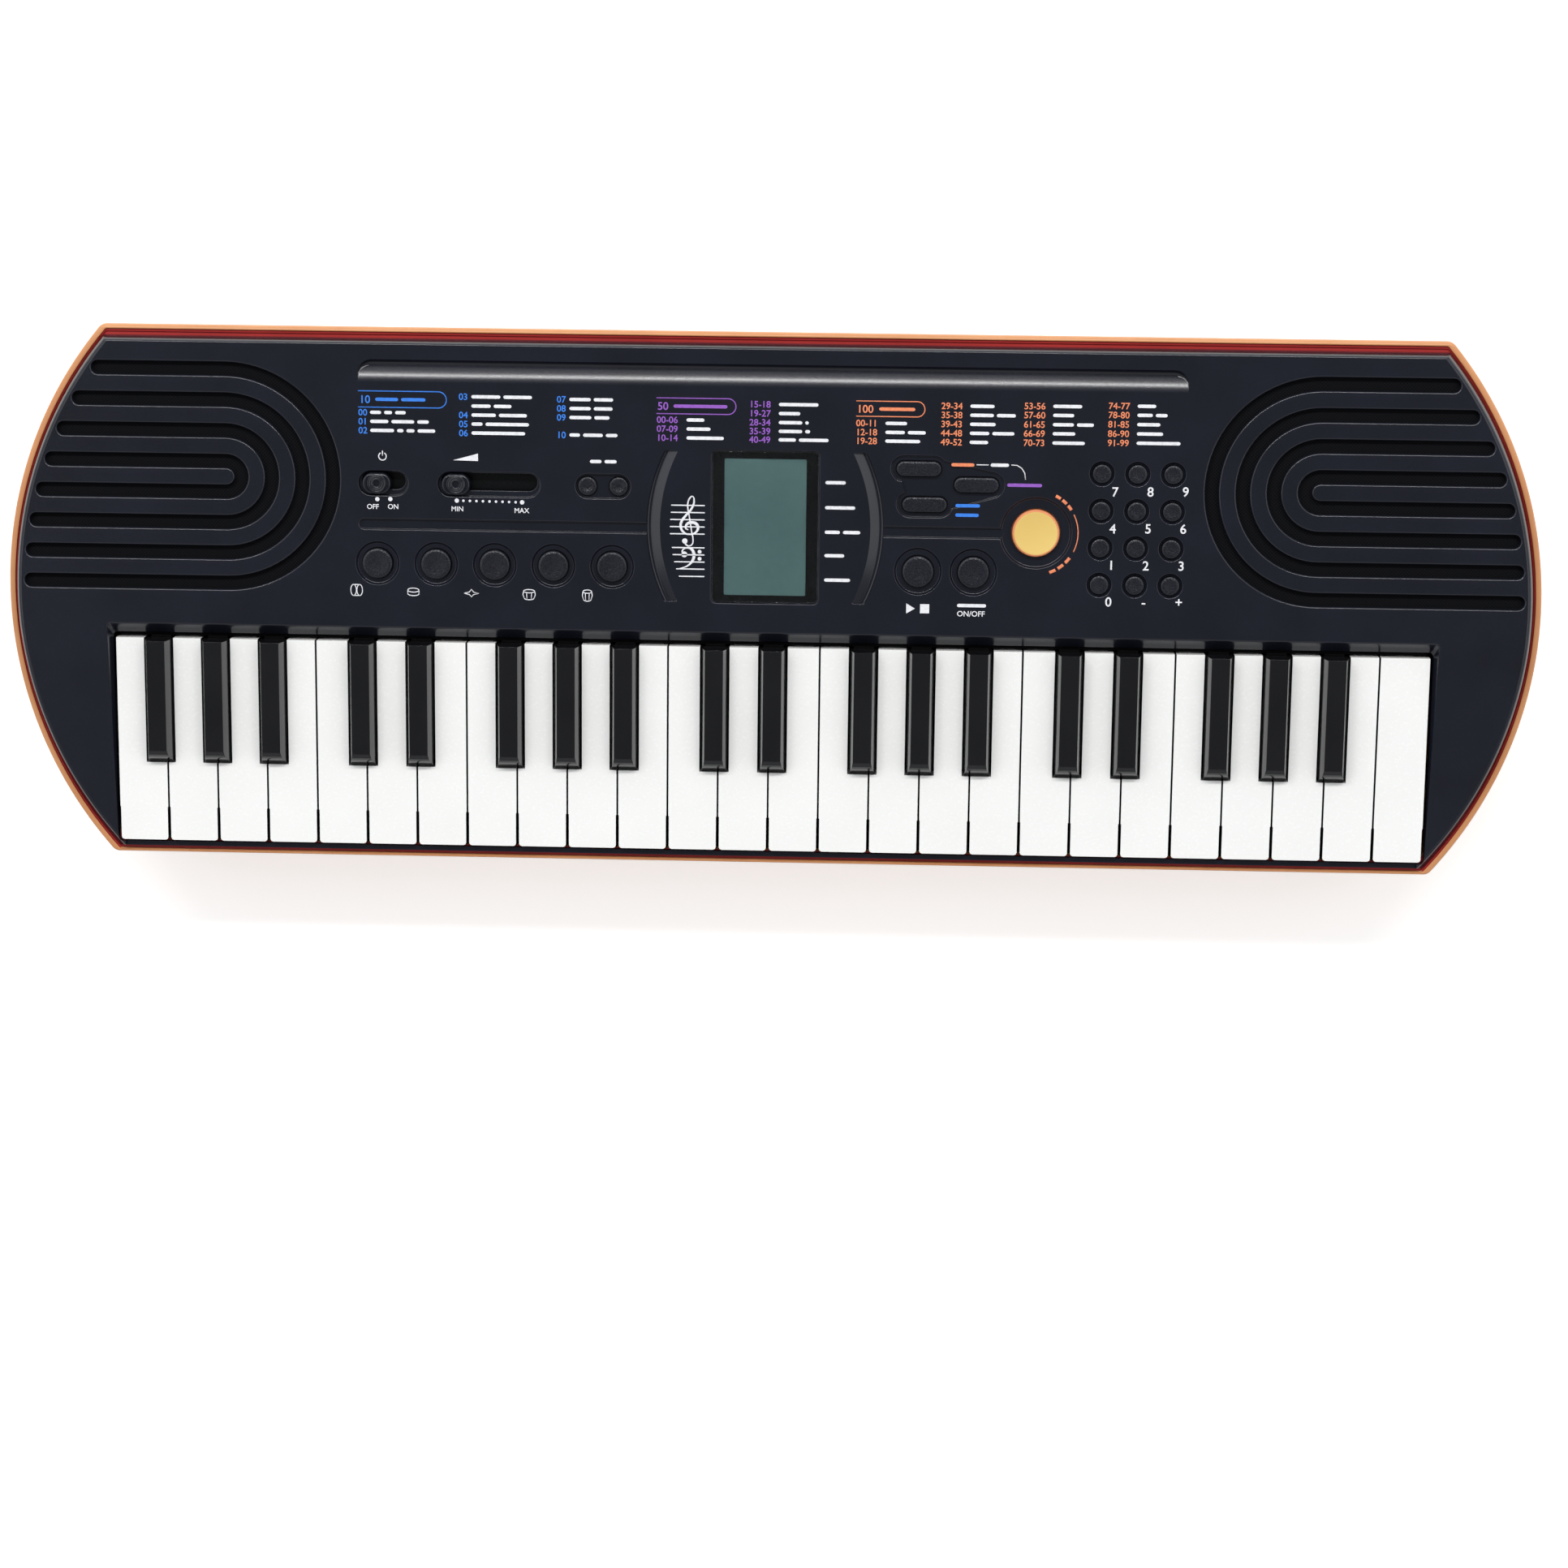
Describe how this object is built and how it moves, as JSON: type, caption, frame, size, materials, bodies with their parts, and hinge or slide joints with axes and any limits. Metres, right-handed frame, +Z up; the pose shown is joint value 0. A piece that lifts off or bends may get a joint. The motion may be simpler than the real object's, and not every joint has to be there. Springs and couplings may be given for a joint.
{
  "type": "portable keyboard",
  "caption": "Portable keyboard with mini keys in a two-part case with rounded ends, a display, button groups, slide switches and grilled speakers at both ends.",
  "frame": {"origin": "under the middle of the case, on the surface the feet stand on", "axes": "+X to the player's right along the keys, +Y to the rear edge, +Z up"},
  "size_m": [0.604, 0.211, 0.057],
  "materials": {
    "case_black": "satin moulded plastic",
    "case_orange": "satin moulded plastic",
    "door_orange": "satin moulded plastic",
    "key_white": "smooth semi-gloss",
    "key_black": "gloss",
    "window_clear": "clear polished acrylic",
    "display_grey": "smooth",
    "board_green": "solder resist",
    "rail_grey": "moulded plastic",
    "speaker_black": "matt",
    "knob_black": "satin",
    "button_cream": "satin silicone",
    "button_rubber": "satin silicone"
  },
  "bodies": {
    "case": {"lower_case": "case_orange", "upper_case": "case_black", "battery_tray": "case_orange", "display_window": "window_clear", "main_board": "board_green", "key_contact_board": "board_green", "key_comb_rail": "rail_grey", "left_speaker": "speaker_black", "right_speaker": "speaker_black"},
    "white_key_F3": {"white_key_F3": "key_white"},
    "black_key_Fs3": {"black_key_Fs3": "key_black"},
    "white_key_G3": {"white_key_G3": "key_white"},
    "black_key_Gs3": {"black_key_Gs3": "key_black"},
    "white_key_A3": {"white_key_A3": "key_white"},
    "black_key_As3": {"black_key_As3": "key_black"},
    "white_key_B3": {"white_key_B3": "key_white"},
    "white_key_C4": {"white_key_C4": "key_white"},
    "black_key_Cs4": {"black_key_Cs4": "key_black"},
    "white_key_D4": {"white_key_D4": "key_white"},
    "black_key_Ds4": {"black_key_Ds4": "key_black"},
    "white_key_E4": {"white_key_E4": "key_white"},
    "white_key_F4": {"white_key_F4": "key_white"},
    "black_key_Fs4": {"black_key_Fs4": "key_black"},
    "white_key_G4": {"white_key_G4": "key_white"},
    "black_key_Gs4": {"black_key_Gs4": "key_black"},
    "white_key_A4": {"white_key_A4": "key_white"},
    "black_key_As4": {"black_key_As4": "key_black"},
    "white_key_B4": {"white_key_B4": "key_white"},
    "white_key_C5": {"white_key_C5": "key_white"},
    "black_key_Cs5": {"black_key_Cs5": "key_black"},
    "white_key_D5": {"white_key_D5": "key_white"},
    "black_key_Ds5": {"black_key_Ds5": "key_black"},
    "white_key_E5": {"white_key_E5": "key_white"},
    "white_key_F5": {"white_key_F5": "key_white"},
    "black_key_Fs5": {"black_key_Fs5": "key_black"},
    "white_key_G5": {"white_key_G5": "key_white"},
    "black_key_Gs5": {"black_key_Gs5": "key_black"},
    "white_key_A5": {"white_key_A5": "key_white"},
    "black_key_As5": {"black_key_As5": "key_black"},
    "white_key_B5": {"white_key_B5": "key_white"},
    "white_key_C6": {"white_key_C6": "key_white"},
    "black_key_Cs6": {"black_key_Cs6": "key_black"},
    "white_key_D6": {"white_key_D6": "key_white"},
    "black_key_Ds6": {"black_key_Ds6": "key_black"},
    "white_key_E6": {"white_key_E6": "key_white"},
    "white_key_F6": {"white_key_F6": "key_white"},
    "black_key_Fs6": {"black_key_Fs6": "key_black"},
    "white_key_G6": {"white_key_G6": "key_white"},
    "black_key_Gs6": {"black_key_Gs6": "key_black"},
    "white_key_A6": {"white_key_A6": "key_white"},
    "black_key_As6": {"black_key_As6": "key_black"},
    "white_key_B6": {"white_key_B6": "key_white"},
    "white_key_C7": {"white_key_C7": "key_white"},
    "drum_button_mat": {"drum_button_mat": "button_rubber"},
    "right_button_mat": {"right_button_mat": "button_rubber"},
    "tempo_button_mat": {"tempo_button_mat": "button_rubber"},
    "piano_organ_button": {"piano_organ_button": "button_cream"},
    "power_switch_knob": {"power_switch_knob": "knob_black"},
    "volume_knob": {"volume_knob": "knob_black"},
    "battery_door": {"battery_door": "door_orange"}
  },
  "joints": [
    {"name": "white_F3_press", "type": "hinge", "parent": "case", "child": "white_key_F3", "pos_m": [-0.24938, -0.002, 0.044], "axis": [1, 0, 0], "range_deg": [0, 2.3], "stiffness_Nm_per_rad": 0.5, "springref_deg": -3.44},
    {"name": "black_Fs3_press", "type": "hinge", "parent": "case", "child": "black_key_Fs3", "pos_m": [-0.2421, -0.002, 0.044], "axis": [1, 0, 0], "range_deg": [0, 3], "stiffness_Nm_per_rad": 0.5, "springref_deg": -3.44},
    {"name": "white_G3_press", "type": "hinge", "parent": "case", "child": "white_key_G3", "pos_m": [-0.22942, -0.002, 0.044], "axis": [1, 0, 0], "range_deg": [0, 2.3], "stiffness_Nm_per_rad": 0.5, "springref_deg": -3.44},
    {"name": "black_Gs3_press", "type": "hinge", "parent": "case", "child": "black_key_Gs3", "pos_m": [-0.21945, -0.002, 0.044], "axis": [1, 0, 0], "range_deg": [0, 3], "stiffness_Nm_per_rad": 0.5, "springref_deg": -3.44},
    {"name": "white_A3_press", "type": "hinge", "parent": "case", "child": "white_key_A3", "pos_m": [-0.20947, -0.002, 0.044], "axis": [1, 0, 0], "range_deg": [0, 2.3], "stiffness_Nm_per_rad": 0.5, "springref_deg": -3.44},
    {"name": "black_As3_press", "type": "hinge", "parent": "case", "child": "black_key_As3", "pos_m": [-0.1968, -0.002, 0.044], "axis": [1, 0, 0], "range_deg": [0, 3], "stiffness_Nm_per_rad": 0.5, "springref_deg": -3.44},
    {"name": "white_B3_press", "type": "hinge", "parent": "case", "child": "white_key_B3", "pos_m": [-0.18952, -0.002, 0.044], "axis": [1, 0, 0], "range_deg": [0, 2.3], "stiffness_Nm_per_rad": 0.5, "springref_deg": -3.44},
    {"name": "white_C4_press", "type": "hinge", "parent": "case", "child": "white_key_C4", "pos_m": [-0.16958, -0.002, 0.044], "axis": [1, 0, 0], "range_deg": [0, 2.3], "stiffness_Nm_per_rad": 0.5, "springref_deg": -3.44},
    {"name": "black_Cs4_press", "type": "hinge", "parent": "case", "child": "black_key_Cs4", "pos_m": [-0.1611, -0.002, 0.044], "axis": [1, 0, 0], "range_deg": [0, 3], "stiffness_Nm_per_rad": 0.5, "springref_deg": -3.44},
    {"name": "white_D4_press", "type": "hinge", "parent": "case", "child": "white_key_D4", "pos_m": [-0.14963, -0.002, 0.044], "axis": [1, 0, 0], "range_deg": [0, 2.3], "stiffness_Nm_per_rad": 0.5, "springref_deg": -3.44},
    {"name": "black_Ds4_press", "type": "hinge", "parent": "case", "child": "black_key_Ds4", "pos_m": [-0.13815, -0.002, 0.044], "axis": [1, 0, 0], "range_deg": [0, 3], "stiffness_Nm_per_rad": 0.5, "springref_deg": -3.44},
    {"name": "white_E4_press", "type": "hinge", "parent": "case", "child": "white_key_E4", "pos_m": [-0.12968, -0.002, 0.044], "axis": [1, 0, 0], "range_deg": [0, 2.3], "stiffness_Nm_per_rad": 0.5, "springref_deg": -3.44},
    {"name": "white_F4_press", "type": "hinge", "parent": "case", "child": "white_key_F4", "pos_m": [-0.10973, -0.002, 0.044], "axis": [1, 0, 0], "range_deg": [0, 2.3], "stiffness_Nm_per_rad": 0.5, "springref_deg": -3.44},
    {"name": "black_Fs4_press", "type": "hinge", "parent": "case", "child": "black_key_Fs4", "pos_m": [-0.10245, -0.002, 0.044], "axis": [1, 0, 0], "range_deg": [0, 3], "stiffness_Nm_per_rad": 0.5, "springref_deg": -3.44},
    {"name": "white_G4_press", "type": "hinge", "parent": "case", "child": "white_key_G4", "pos_m": [-0.08977, -0.002, 0.044], "axis": [1, 0, 0], "range_deg": [0, 2.3], "stiffness_Nm_per_rad": 0.5, "springref_deg": -3.44},
    {"name": "black_Gs4_press", "type": "hinge", "parent": "case", "child": "black_key_Gs4", "pos_m": [-0.0798, -0.002, 0.044], "axis": [1, 0, 0], "range_deg": [0, 3], "stiffness_Nm_per_rad": 0.5, "springref_deg": -3.44},
    {"name": "white_A4_press", "type": "hinge", "parent": "case", "child": "white_key_A4", "pos_m": [-0.06982, -0.002, 0.044], "axis": [1, 0, 0], "range_deg": [0, 2.3], "stiffness_Nm_per_rad": 0.5, "springref_deg": -3.44},
    {"name": "black_As4_press", "type": "hinge", "parent": "case", "child": "black_key_As4", "pos_m": [-0.05715, -0.002, 0.044], "axis": [1, 0, 0], "range_deg": [0, 3], "stiffness_Nm_per_rad": 0.5, "springref_deg": -3.44},
    {"name": "white_B4_press", "type": "hinge", "parent": "case", "child": "white_key_B4", "pos_m": [-0.04988, -0.002, 0.044], "axis": [1, 0, 0], "range_deg": [0, 2.3], "stiffness_Nm_per_rad": 0.5, "springref_deg": -3.44},
    {"name": "white_C5_press", "type": "hinge", "parent": "case", "child": "white_key_C5", "pos_m": [-0.02993, -0.002, 0.044], "axis": [1, 0, 0], "range_deg": [0, 2.3], "stiffness_Nm_per_rad": 0.5, "springref_deg": -3.44},
    {"name": "black_Cs5_press", "type": "hinge", "parent": "case", "child": "black_key_Cs5", "pos_m": [-0.02145, -0.002, 0.044], "axis": [1, 0, 0], "range_deg": [0, 3], "stiffness_Nm_per_rad": 0.5, "springref_deg": -3.44},
    {"name": "white_D5_press", "type": "hinge", "parent": "case", "child": "white_key_D5", "pos_m": [-0.00997, -0.002, 0.044], "axis": [1, 0, 0], "range_deg": [0, 2.3], "stiffness_Nm_per_rad": 0.5, "springref_deg": -3.44},
    {"name": "black_Ds5_press", "type": "hinge", "parent": "case", "child": "black_key_Ds5", "pos_m": [0.0015, -0.002, 0.044], "axis": [1, 0, 0], "range_deg": [0, 3], "stiffness_Nm_per_rad": 0.5, "springref_deg": -3.44},
    {"name": "white_E5_press", "type": "hinge", "parent": "case", "child": "white_key_E5", "pos_m": [0.00997, -0.002, 0.044], "axis": [1, 0, 0], "range_deg": [0, 2.3], "stiffness_Nm_per_rad": 0.5, "springref_deg": -3.44},
    {"name": "white_F5_press", "type": "hinge", "parent": "case", "child": "white_key_F5", "pos_m": [0.02993, -0.002, 0.044], "axis": [1, 0, 0], "range_deg": [0, 2.3], "stiffness_Nm_per_rad": 0.5, "springref_deg": -3.44},
    {"name": "black_Fs5_press", "type": "hinge", "parent": "case", "child": "black_key_Fs5", "pos_m": [0.0372, -0.002, 0.044], "axis": [1, 0, 0], "range_deg": [0, 3], "stiffness_Nm_per_rad": 0.5, "springref_deg": -3.44},
    {"name": "white_G5_press", "type": "hinge", "parent": "case", "child": "white_key_G5", "pos_m": [0.04988, -0.002, 0.044], "axis": [1, 0, 0], "range_deg": [0, 2.3], "stiffness_Nm_per_rad": 0.5, "springref_deg": -3.44},
    {"name": "black_Gs5_press", "type": "hinge", "parent": "case", "child": "black_key_Gs5", "pos_m": [0.05985, -0.002, 0.044], "axis": [1, 0, 0], "range_deg": [0, 3], "stiffness_Nm_per_rad": 0.5, "springref_deg": -3.44},
    {"name": "white_A5_press", "type": "hinge", "parent": "case", "child": "white_key_A5", "pos_m": [0.06982, -0.002, 0.044], "axis": [1, 0, 0], "range_deg": [0, 2.3], "stiffness_Nm_per_rad": 0.5, "springref_deg": -3.44},
    {"name": "black_As5_press", "type": "hinge", "parent": "case", "child": "black_key_As5", "pos_m": [0.0825, -0.002, 0.044], "axis": [1, 0, 0], "range_deg": [0, 3], "stiffness_Nm_per_rad": 0.5, "springref_deg": -3.44},
    {"name": "white_B5_press", "type": "hinge", "parent": "case", "child": "white_key_B5", "pos_m": [0.08977, -0.002, 0.044], "axis": [1, 0, 0], "range_deg": [0, 2.3], "stiffness_Nm_per_rad": 0.5, "springref_deg": -3.44},
    {"name": "white_C6_press", "type": "hinge", "parent": "case", "child": "white_key_C6", "pos_m": [0.10973, -0.002, 0.044], "axis": [1, 0, 0], "range_deg": [0, 2.3], "stiffness_Nm_per_rad": 0.5, "springref_deg": -3.44},
    {"name": "black_Cs6_press", "type": "hinge", "parent": "case", "child": "black_key_Cs6", "pos_m": [0.1182, -0.002, 0.044], "axis": [1, 0, 0], "range_deg": [0, 3], "stiffness_Nm_per_rad": 0.5, "springref_deg": -3.44},
    {"name": "white_D6_press", "type": "hinge", "parent": "case", "child": "white_key_D6", "pos_m": [0.12968, -0.002, 0.044], "axis": [1, 0, 0], "range_deg": [0, 2.3], "stiffness_Nm_per_rad": 0.5, "springref_deg": -3.44},
    {"name": "black_Ds6_press", "type": "hinge", "parent": "case", "child": "black_key_Ds6", "pos_m": [0.14115, -0.002, 0.044], "axis": [1, 0, 0], "range_deg": [0, 3], "stiffness_Nm_per_rad": 0.5, "springref_deg": -3.44},
    {"name": "white_E6_press", "type": "hinge", "parent": "case", "child": "white_key_E6", "pos_m": [0.14963, -0.002, 0.044], "axis": [1, 0, 0], "range_deg": [0, 2.3], "stiffness_Nm_per_rad": 0.5, "springref_deg": -3.44},
    {"name": "white_F6_press", "type": "hinge", "parent": "case", "child": "white_key_F6", "pos_m": [0.16958, -0.002, 0.044], "axis": [1, 0, 0], "range_deg": [0, 2.3], "stiffness_Nm_per_rad": 0.5, "springref_deg": -3.44},
    {"name": "black_Fs6_press", "type": "hinge", "parent": "case", "child": "black_key_Fs6", "pos_m": [0.17685, -0.002, 0.044], "axis": [1, 0, 0], "range_deg": [0, 3], "stiffness_Nm_per_rad": 0.5, "springref_deg": -3.44},
    {"name": "white_G6_press", "type": "hinge", "parent": "case", "child": "white_key_G6", "pos_m": [0.18952, -0.002, 0.044], "axis": [1, 0, 0], "range_deg": [0, 2.3], "stiffness_Nm_per_rad": 0.5, "springref_deg": -3.44},
    {"name": "black_Gs6_press", "type": "hinge", "parent": "case", "child": "black_key_Gs6", "pos_m": [0.1995, -0.002, 0.044], "axis": [1, 0, 0], "range_deg": [0, 3], "stiffness_Nm_per_rad": 0.5, "springref_deg": -3.44},
    {"name": "white_A6_press", "type": "hinge", "parent": "case", "child": "white_key_A6", "pos_m": [0.20947, -0.002, 0.044], "axis": [1, 0, 0], "range_deg": [0, 2.3], "stiffness_Nm_per_rad": 0.5, "springref_deg": -3.44},
    {"name": "black_As6_press", "type": "hinge", "parent": "case", "child": "black_key_As6", "pos_m": [0.22215, -0.002, 0.044], "axis": [1, 0, 0], "range_deg": [0, 3], "stiffness_Nm_per_rad": 0.5, "springref_deg": -3.44},
    {"name": "white_B6_press", "type": "hinge", "parent": "case", "child": "white_key_B6", "pos_m": [0.22942, -0.002, 0.044], "axis": [1, 0, 0], "range_deg": [0, 2.3], "stiffness_Nm_per_rad": 0.5, "springref_deg": -3.44},
    {"name": "white_C7_press", "type": "hinge", "parent": "case", "child": "white_key_C7", "pos_m": [0.24938, -0.002, 0.044], "axis": [1, 0, 0], "range_deg": [0, 2.3], "stiffness_Nm_per_rad": 0.5, "springref_deg": -3.44},
    {"name": "drum_buttons_press", "type": "slide", "parent": "case", "child": "drum_button_mat", "axis": [0, 0, -1], "range_m": [0, 0.001], "stiffness_N_per_m": 1200, "springref_m": -0.0006},
    {"name": "right_buttons_press", "type": "slide", "parent": "case", "child": "right_button_mat", "axis": [0, 0, -1], "range_m": [0, 0.001], "stiffness_N_per_m": 1200, "springref_m": -0.0006},
    {"name": "tempo_buttons_press", "type": "slide", "parent": "case", "child": "tempo_button_mat", "axis": [0, 0, -1], "range_m": [0, 0.001], "stiffness_N_per_m": 600, "springref_m": -0.0006},
    {"name": "piano_organ_press", "type": "slide", "parent": "case", "child": "piano_organ_button", "axis": [0, 0, -1], "range_m": [0, 0.001], "stiffness_N_per_m": 600, "springref_m": -0.0006},
    {"name": "power_slide", "type": "slide", "parent": "case", "child": "power_switch_knob", "axis": [1, 0, 0], "range_m": [0, 0.0051]},
    {"name": "volume_slide", "type": "slide", "parent": "case", "child": "volume_knob", "axis": [1, 0, 0], "range_m": [0, 0.0258]},
    {"name": "battery_door_lift_off", "type": "slide", "parent": "case", "child": "battery_door", "axis": [0, 0, -1], "range_m": [0, 0.02]}
  ]
}
